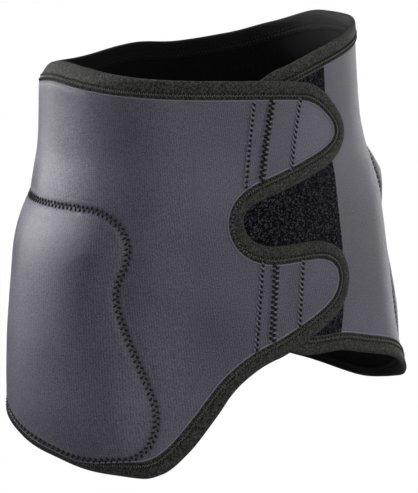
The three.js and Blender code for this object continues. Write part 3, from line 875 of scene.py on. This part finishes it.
def ridgeFace(width, inwards, run):
    # rope-like puckers between the stitches
    across = np.abs(inwards) / (0.5 * width + tabStitch["ridgeMargin"])
    turns = run / tabStitch["pitch"] - 0.5 * inwards / width
    rope = 0.5 + 0.5 * np.cos(2 * math.pi * turns)
    bulge = tabStitch["ridge"] * (1 - np.clip(across, 0, tabStitch["ridgeReach"]) ** 2)
    valley = tabStitch["valley"]
    return np.where(bulge > 0, bulge * (valley + (1 - valley) * rope), bulge)


def threadBed(width, inwards, run):
    return tabStitch["bed"] + tabStitch["bedShare"] * ridgeFace(width, inwards, run)


tabGrids, tabRise, tabStrokes, tabDashes = [], [], [], []
for topAlong, topHeight, lowAlong, lowHeight, width in tabLines:
    top, foot = [girth + topAlong, topHeight], [girth + lowAlong, lowHeight]
    line = straight(top, foot, tabStitch["rows"])
    track = makeTrack(line, unit(np.gradient(line, axis=0)))
    length = track["run"][-1]
    single = width < tabStitch["singleWidth"]
    edge = 0.5 * width + tabStitch["margin"]
    rows = round(length / tabStitch["step"]) + 1
    columns = tabStitch["singleColumns" if single else "doubleColumns"]
    runs, across = np.meshgrid(
        np.linspace(0, length, rows), np.linspace(-edge, edge, columns), indexing="ij"
    )
    tabGrids.append(onTrack(track, runs, across))
    tabRise.append(ridgeFace(width, across, runs).ravel())
    stitch = {**tabStitch, "low": -0.5 * width, "high": 0.5 * width}
    run, inwards = stitchSpots(length, stitch, strokeShares)
    rise = threadBed(width, inwards, run) + strokeLift(stitch)
    tabStrokes.append(place(onTrack(track, run, inwards), rise))
    # dashes at the needle holes: partly the black thread, partly painted shade of the holes
    run, inwards = threadAndHoleShadeSpots(length, stitch)
    dashes = place(onTrack(track, run, inwards), threadBed(width, inwards, run) + stitch["sit"])
    tabDashes.append(dashes[1::2] if single else dashes)

tabPoints = np.vstack([grid.reshape(-1, 2) for grid in tabGrids])
tabOuter = np.concatenate(tabRise)
tabSeams = clothSolid("tabSeams", tabPoints, gridQuads(tabGrids), tabOuter, tabStitch["foot"], tabOuter)
tabStitches = threads("tabStitches", np.vstack(tabStrokes), tabStitch["thread"])
tabThreadAndHoleShade = threads("tabThreadAndHoleShade", np.vstack(tabDashes), tabStitch["dash"], corners=6)
print("tab seams", len(tabSeams.data.polygons), "faces")


# Loop panel on the under layer

loop = {
    "foot": 0.00035,
    "thickness": 0.0012,
    "margin": 0.0142,
    "step": 0.00105,
    "pile": 0.00055,
    "pileSunk": 0.8,
}


def cutLine(line, along):
    # the part of a line before a place along the girth, with a last point there
    last = [[along, np.interp(along, line[:, 0], line[:, 1])]]
    return np.vstack([line[line[:, 0] < along], last])


def loopGrid():
    inner = edgePoint(outlineRun, loop["margin"])
    counts = np.cumsum([0] + [len(line) - 1 for line in sides])
    rimBack = inner[counts[7]:counts[8] + 1][::-1]
    underUp = inner[np.arange(counts[8], counts[9] + 1) % len(inner)][::-1]
    edge = closure["loopEdge"]
    low = cutLine(inner[:counts[1] + 1], edge - closure["loopLean"])
    high = cutLine(rimBack, edge)
    across = round((edge + closure["underReach"]) / loop["step"])
    up = round((high[-1, 1] - low[-1, 1]) / loop["step"])
    free = straight(low[-1], high[-1], up)
    drop = np.clip(free[:, 1] / low[-1, 1], 0, None)
    free[:, 0] = edge - closure["loopLean"] * drop ** 2
    return blendPatch(evenly(low, across), evenly(high, across), evenly(underUp, up), free)


def makeLoop():
    points, quads = weld([loopGrid()])
    rng = np.random.default_rng(7)
    pile = loop["pile"] * (rng.random(len(points)) - loop["pileSunk"])
    outer = loop["foot"] + loop["thickness"] + pile
    return clothSolid("loopPanel", points, quads, outer, loop["foot"], rng.random(len(points)))


loopPanel = makeLoop()
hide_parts("loop_panel")
print("loop panel", len(loopPanel.data.polygons), "faces")


# Materials

def linear(r, g, b):
    return [((v / 255 + 0.055) / 1.055) ** 2.4 if v > 10 else v / 255 / 12.92 for v in (r, g, b)] + [1]


def giveInputs(tree, node, values):
    # a socket is linked, and anything else becomes the input's own value
    for key, value in values.items():
        if isinstance(value, bpy.types.NodeSocket):
            tree.links.new(value, node.inputs[key])
        else:
            node.inputs[key].default_value = value
    return node


def addNode(tree, kind, values, **settings):
    node = tree.nodes.new(kind)
    for key, value in settings.items():
        setattr(node, key, value)
    return giveInputs(tree, node, values)


number, vector = "NodeSocketFloat", "NodeSocketVector"


def newGroup(name, inputs, outputs):
    tree = bpy.data.node_groups.new(name, "ShaderNodeTree")
    for label, kind in inputs:
        tree.interface.new_socket(name=label, in_out="INPUT", socket_type=kind)
    for label in outputs:
        tree.interface.new_socket(name=label, in_out="OUTPUT", socket_type=number)
    return tree, tree.nodes.new("NodeGroupInput").outputs, tree.nodes.new("NodeGroupOutput")


def mathNode(tree, operation, a, b=0.0, c=0.0):
    return addNode(tree, "ShaderNodeMath", {0: a, 1: b, 2: c}, operation=operation).outputs[0]


def noiseNode(tree, spot, scale, detail, roughness=0.5):
    values = {"Vector": spot, "Scale": scale, "Detail": detail, "Roughness": roughness}
    return addNode(tree, "ShaderNodeTexNoise", values).outputs["Fac"]


def splitNode(tree, value):
    return addNode(tree, "ShaderNodeSeparateXYZ", {0: value}).outputs


def mixColours(tree, share, first, second):
    values = {0: share, 6: first, 7: second}
    return addNode(tree, "ShaderNodeMix", values, data_type="RGBA").outputs[2]


def rangeNode(tree, value, low, high, newLow=0.0, newHigh=1.0):
    values = {"Value": value, "From Min": low, "From Max": high, "To Min": newLow, "To Max": newHigh}
    return addNode(tree, "ShaderNodeMapRange", values, interpolation_type="SMOOTHSTEP").outputs[0]


def bumpNode(tree, height, strength, distance):
    values = {"Height": height, "Strength": strength, "Distance": distance}
    return addNode(tree, "ShaderNodeBump", values).outputs[0]


def flatPlace(tree):
    return addNode(tree, "ShaderNodeAttribute", {}, attribute_name="flat").outputs["Vector"]


def objectPlace(tree):
    return addNode(tree, "ShaderNodeTexCoord", {}).outputs["Object"]


def cells(tree, scale):
    return addNode(tree, "ShaderNodeTexVoronoi", {"Vector": objectPlace(tree), "Scale": scale}).outputs


def makeKnitRibs():
    # fine ribs that run up the flat pattern, slightly slanted and wavy
    inputs = [("Flat", vector), ("Pitch", number), ("Slant", number), ("Waver", number)]
    tree, given, result = newGroup("knitRibs", inputs, ["Ribs", "Fleck"])
    flat = splitNode(tree, given["Flat"])
    slanted = mathNode(tree, "MULTIPLY_ADD", flat[1], given["Slant"], flat[0])
    turns = mathNode(tree, "MULTIPLY", mathNode(tree, "DIVIDE", slanted, given["Pitch"]), 2 * math.pi)
    waver = mathNode(tree, "MULTIPLY", noiseNode(tree, given["Flat"], 260.0, 2.0), given["Waver"])
    wave = mathNode(tree, "SINE", mathNode(tree, "MULTIPLY_ADD", waver, 2 * math.pi, turns))
    giveInputs(tree, result, {
        "Ribs": mathNode(tree, "MULTIPLY_ADD", wave, 0.5, 0.5),
        "Fleck": noiseNode(tree, given["Flat"], 900.0, 3.0, 0.75),
    })
    return tree


def makeClothMottle():
    # soft patches of wear over the whole cloth, and fine grain
    inputs = [("Place", vector), ("Scale", number)]
    tree, given, result = newGroup("clothMottle", inputs, ["Patch", "Fine"])
    finer = mathNode(tree, "MULTIPLY", given["Scale"], 30.0)
    giveInputs(tree, result, {
        "Patch": noiseNode(tree, given["Place"], given["Scale"], 3.0),
        "Fine": noiseNode(tree, given["Place"], finer, 4.0),
    })
    return tree


knitRibs, clothMottle = makeKnitRibs(), makeClothMottle()


def ribsNode(tree, flat, pitch, slant, waver):
    values = {"Flat": flat, "Pitch": pitch, "Slant": slant, "Waver": waver}
    return addNode(tree, "ShaderNodeGroup", values, node_tree=knitRibs).outputs


def mottleNode(tree, scale):
    values = {"Place": objectPlace(tree), "Scale": scale}
    return addNode(tree, "ShaderNodeGroup", values, node_tree=clothMottle).outputs


# most of a noise's values lie in this span
noiseSpan = (0.3, 0.7)


def startMaterial(name):
    material = bpy.data.materials.new(name)
    material.use_nodes = True
    tree = material.node_tree
    return material, tree, tree.nodes["Principled BSDF"]


knit = {
    "pitch": 0.0020,
    "slant": 0.10,
    "waver": 0.35,
    "patches": 16.0,
    "ribTone": 0.10,
    "fleckTone": 1.2,
    "patchTone": 0.25,
    "darkest": 0.50,
    "lightest": 1.05,
    "ribHeight": 0.25,
    "fleckHeight": 1.6,
}


def knitCloth(name, dark, light, paintedSeamShading, band):
    # band: two sizes of the third channel, and the share of the colour paintedSeamShading at each; that
    # colour is painted shade beside the panels' seams and a painted highlight on the tabs' seams
    material, tree, shader = startMaterial(name)
    flat = flatPlace(tree)
    ribs = ribsNode(tree, flat, knit["pitch"], knit["slant"], knit["waver"])
    mottle = mottleNode(tree, knit["patches"])
    ribTone = mathNode(tree, "MULTIPLY", ribs["Ribs"], knit["ribTone"])
    fleckTone = mathNode(tree, "MULTIPLY_ADD", ribs["Fleck"], knit["fleckTone"], ribTone)
    tone = mathNode(tree, "MULTIPLY_ADD", mottle["Patch"], knit["patchTone"], fleckTone)
    cloth = mixColours(tree, rangeNode(tree, tone, knit["darkest"], knit["lightest"]), dark, light)
    # mask for the painted seam shading: painted shade beside the panels' seams, painted highlight on the
    # tabs' seams
    seamShadingMask = rangeNode(tree, mathNode(tree, "ABSOLUTE", splitNode(tree, flat)[2]), *band)
    flecks = mathNode(tree, "MULTIPLY", ribs["Fleck"], knit["fleckHeight"])
    height = mathNode(tree, "MULTIPLY_ADD", ribs["Ribs"], knit["ribHeight"], flecks)
    giveInputs(tree, shader, {
        "Base Color": mixColours(tree, seamShadingMask, cloth, paintedSeamShading),
        "Roughness": rangeNode(tree, mottle["Fine"], *noiseSpan, 0.42, 0.52),
        "Sheen Weight": 0.1,
        "Sheen Roughness": 0.45,
        "Specular IOR Level": 0.5,
        "Normal": bumpNode(tree, height, 0.6, 0.0003),
    })
    return material


def makeLining():
    material, tree, shader = startMaterial("blackLining")
    mottle = mottleNode(tree, 30.0)
    share = rangeNode(tree, mottle["Fine"], 0.35, 0.7)
    giveInputs(tree, shader, {
        "Base Color": mixColours(tree, share, linear(6, 6, 7), linear(20, 20, 22)),
        "Roughness": rangeNode(tree, mottle["Patch"], *noiseSpan, 0.75, 0.9),
        "Specular IOR Level": 0.15,
        "Normal": bumpNode(tree, mottle["Fine"], 0.5, 0.0003),
    })
    return material


# insets over which the tape turns to the cloth's lip with its painted highlight, and rises over which its
# inside, painted darker as shade, turns to its outside
tapeBands = {"lip": (0.0136, 0.0140), "outside": (-0.0030, -0.0020)}


def makeTape():
    # woven outside, cloth at the lip beyond its stitches coloured lighter as a painted highlight, and a
    # plain near-black inside that is painted shade
    material, tree, shader = startMaterial("bindingWeave")
    flat = flatPlace(tree)
    ribs = ribsNode(tree, flat, 0.0011, 0.55, 0.3)
    tone = mathNode(tree, "MULTIPLY", splitNode(tree, cells(tree, 1050.0)["Color"])[0], 0.6)
    weave = mathNode(tree, "MULTIPLY_ADD", ribs["Fleck"], 0.5, tone)
    share = mathNode(tree, "MULTIPLY_ADD", ribs["Ribs"], 0.2, weave)
    woven = mixColours(tree, rangeNode(tree, share, 0.3, 1.1), linear(5, 5, 5), linear(78, 78, 73))
    # painted highlight: the cloth's lip beyond the stitches, lighter than the cloth itself
    lip = rangeNode(tree, splitNode(tree, flat)[1], *tapeBands["lip"])
    wovenWithLipHighlight = mixColours(tree, lip, woven, linear(128, 126, 140))
    # painted shade: the tape's inside gets a plain darker colour than its woven outside
    outside = rangeNode(tree, splitNode(tree, flat)[2], *tapeBands["outside"])
    giveInputs(tree, shader, {
        "Base Color": mixColours(tree, outside, linear(15, 15, 15), wovenWithLipHighlight),
        "Roughness": rangeNode(tree, mottleNode(tree, 40.0)["Fine"], *noiseSpan, 0.6, 0.8),
        "Specular IOR Level": 0.25,
        "Normal": bumpNode(tree, share, 0.8, 0.0003),
    })
    return material


def makePile():
    material, tree, shader = startMaterial("loopPile")
    mottle = mottleNode(tree, 45.0)
    loops = cells(tree, 900.0)
    tone = splitNode(tree, loops["Color"])[0]
    fluff = mathNode(tree, "MULTIPLY_ADD", loops["Distance"], -0.5, mottle["Fine"])
    share = rangeNode(tree, mathNode(tree, "MULTIPLY_ADD", tone, 0.9, fluff), 0.7, 1.35)
    giveInputs(tree, shader, {
        "Base Color": mixColours(tree, share, linear(0, 0, 1), linear(82, 81, 92)),
        "Roughness": rangeNode(tree, mottle["Patch"], *noiseSpan, 0.8, 0.95),
        "Sheen Weight": 0.03,
        "Specular IOR Level": 0.1,
        "Normal": bumpNode(tree, fluff, 0.9, 0.0006),
    })
    return material


def makeThread(name, dark, light):
    material, tree, shader = startMaterial(name)
    fine = mottleNode(tree, 60.0)["Fine"]
    giveInputs(tree, shader, {
        "Base Color": mixColours(tree, rangeNode(tree, fine, *noiseSpan), dark, light),
        "Roughness": rangeNode(tree, fine, *noiseSpan, 0.45, 0.65),
        "Specular IOR Level": 0.4,
        "Normal": bumpNode(tree, fine, 0.5, 0.0002),
    })
    return material


def makeHook():
    material, tree, shader = startMaterial("hookPlastic")
    distance = cells(tree, 700.0)["Distance"]
    share = rangeNode(tree, distance, 0.2, 0.6)
    giveInputs(tree, shader, {
        "Base Color": mixColours(tree, share, linear(40, 40, 42), linear(14, 14, 15)),
        "Roughness": rangeNode(tree, distance, 0.1, 0.6, 0.35, 0.6),
        "Normal": bumpNode(tree, mathNode(tree, "SUBTRACT", 1.0, distance), 0.8, 0.0006),
    })
    return material


# painted shade darkens the cloth beside the panels' seams, and a painted highlight lightens the tops of
# the tabs' seams
# painted shade: darker cloth colour in and beside the panels' sewn grooves
paintedGrooveShade = (linear(42, 40, 49), (0.0006, 0.0042, 0.25, 0.0))
# painted highlight: lighter cloth colour on the tops of the tabs' seam ridges
paintedRidgeHighlight = (linear(128, 126, 140), (0.0003, 0.0011, 0.0, 0.8))
neopreneCloth = knitCloth("neopreneKnit", linear(40, 38, 48), linear(108, 105, 123), *paintedGrooveShade)
panelCloth = knitCloth("panelKnit", linear(39, 37, 47), linear(107, 104, 122), *paintedGrooveShade)
tabCloth = knitCloth("tabKnit", linear(40, 38, 48), linear(108, 105, 123), *paintedRidgeHighlight)
lining, tapeWeave, loopPile, hookPlastic = makeLining(), makeTape(), makePile(), makeHook()
blackThread = makeThread("blackThread", linear(2, 2, 3), linear(9, 9, 12))
tapeThread = makeThread("tapeThread", linear(70, 70, 61), linear(138, 138, 124))

bodyWrap.data.materials.append(neopreneCloth)
bodyWrap.data.materials.append(lining)
bodyWrap.data.polygons.foreach_set("material_index", innerFaces.tolist())
for piece, material in [(edgeBinding, tapeWeave), (loopPanel, loopPile), (tabSeams, tabCloth),
                        (hipPanels[0], panelCloth), (hipPanels[1], panelCloth)]:
    piece.data.materials.append(material)
# the dashes at the needle holes get the black thread: painted shade of the holes, and on the black-thread
# seams partly the thread itself
for piece in (panelThreadAndHoleShade, bindingStitches, bindingHoleShade, tabStitches, tabThreadAndHoleShade):
    piece.data.materials.append(tapeThread if piece == bindingStitches else blackThread)
for node in ("hook_patch_upper", "hook_patch_lower"):
    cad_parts[node].data.materials.clear()
    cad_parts[node].data.materials.append(hookPlastic)
print("materials", len(bpy.data.materials))


# Studio: camera, lights, floor and background

view = {
    "turn": 45.6,
    "rise": 12.0,
    "roll": 1.47,
    "distance": 2.5,
    "across": 0.0037,
    "up": -0.0144,
    "lens": 259.4,
}


def placeCamera():
    turn, rise, roll = (math.radians(view[k]) for k in ("turn", "rise", "roll"))
    back = Vector((-math.sin(turn) * math.cos(rise), -math.cos(turn) * math.cos(rise), math.sin(rise)))
    right = Vector((math.cos(turn), -math.sin(turn), 0))
    up = back.cross(right)
    rolledRight = right * math.cos(roll) - up * math.sin(roll)
    rolledUp = right * math.sin(roll) + up * math.cos(roll)
    target = Vector((view["across"] * right.x, view["across"] * right.y, view["up"]))
    eye = target + back * view["distance"]
    camera = bpy.data.objects.new("camera", bpy.data.cameras.new("camera"))
    camera.matrix_world = Matrix((
        (rolledRight.x, rolledUp.x, back.x, eye.x),
        (rolledRight.y, rolledUp.y, back.y, eye.y),
        (rolledRight.z, rolledUp.z, back.z, eye.z),
        (0, 0, 0, 1),
    ))
    camera.data.sensor_fit = "HORIZONTAL"
    camera.data.sensor_width = 36
    camera.data.lens = view["lens"]
    camera.data.clip_end = 50
    bpy.context.scene.collection.objects.link(camera)
    bpy.context.scene.camera = camera
    return right, up, back


right, up, back = placeCamera()

# place from the object along the view's right, up and towards the camera; size, strength,
# the height that it is aimed at and the spread of its beam in degrees
lamps = {
    "leftSoftbox": (-1.9, 0.8, -0.30, 0.5, 0.7, 16, 0, 180),
    "leftNear": (-0.80, 0.45, -0.10, 0.20, 0.3, 0.3, 0.07, 42),
    "leftSide": (-1.8, 0.4, -0.7, 0.3, 0.3, 0.27, 0.07, 10),
    "leftFront": (-1.6, 1.0, 0.9, 0.7, 1.0, 5.5, 0, 180),
    "rightPanel": (2.0, 0.3, 0.0, 0.7, 1.0, 9, 0, 180),
    "rightSide": (1.6, 0.4, -1.2, 0.7, 1.0, 5, 0, 180),
    "rightRim": (0.95, 0.3, -2.1, 0.5, 1.2, 7, 0, 180),
    "rightFront": (1.1, 0.7, 2.0, 1.0, 1.0, 13, 0, 180),
    "lowFront": (0.2, -0.9, 2.0, 1.0, 1.0, 10, 0, 180),
    "topSoftbox": (0.0, 2.2, 0.2, 1.0, 1.0, 24, 0, 180),
}
for name, (x, y, z, wide, tall, strength, aim, spread) in lamps.items():
    lamp = bpy.data.objects.new(name, bpy.data.lights.new(name, "AREA"))
    lamp.data.shape = "RECTANGLE"
    lamp.data.size, lamp.data.size_y, lamp.data.energy = wide, tall, strength
    lamp.data.spread = math.radians(spread)
    lamp.location = right * x + up * y + back * z
    lamp.rotation_euler = (lamp.location - up * aim).to_track_quat("Z", "Y").to_euler()
    bpy.context.scene.collection.objects.link(lamp)


def cameraRay(tree):
    return addNode(tree, "ShaderNodeLightPath", {}).outputs["Is Camera Ray"]


def makeWorld():
    world = bpy.data.worlds.new("studio")
    world.use_nodes = True
    tree = world.node_tree
    shown = addNode(tree, "ShaderNodeBackground", {"Color": (1, 1, 1, 1), "Strength": 1.0})
    dim = addNode(tree, "ShaderNodeBackground", {"Color": (1, 1, 1, 1), "Strength": 0.02})
    ray = cameraRay(tree)
    mixed = addNode(tree, "ShaderNodeMixShader", {0: ray, 1: dim.outputs[0], 2: shown.outputs[0]})
    tree.links.new(mixed.outputs[0], tree.nodes["World Output"].inputs["Surface"])
    bpy.context.scene.world = world


def makeFloor():
    size, height = 12, -0.75
    corners = [(-size, -size, height), (size, -size, height), (size, size, height), (-size, size, height)]
    data = bpy.data.meshes.new("floor")
    data.from_pydata(corners, [], [(0, 1, 2, 3)])
    floor = bpy.data.objects.new("floor", data)
    bpy.context.scene.collection.objects.link(floor)
    material, tree, shader = startMaterial("paleFloor")
    giveInputs(tree, shader, {"Base Color": (0.4, 0.4, 0.4, 1), "Roughness": 0.9})
    glow = addNode(tree, "ShaderNodeEmission", {"Strength": 1.0})
    ray = cameraRay(tree)
    shown = addNode(tree, "ShaderNodeMixShader", {0: ray, 1: shader.outputs[0], 2: glow.outputs[0]})
    tree.links.new(shown.outputs[0], tree.nodes["Material Output"].inputs["Surface"])
    floor.data.materials.append(material)


makeWorld()
makeFloor()
bpy.context.scene.view_settings.view_transform = "Standard"
print("studio", len(lamps), "lights")
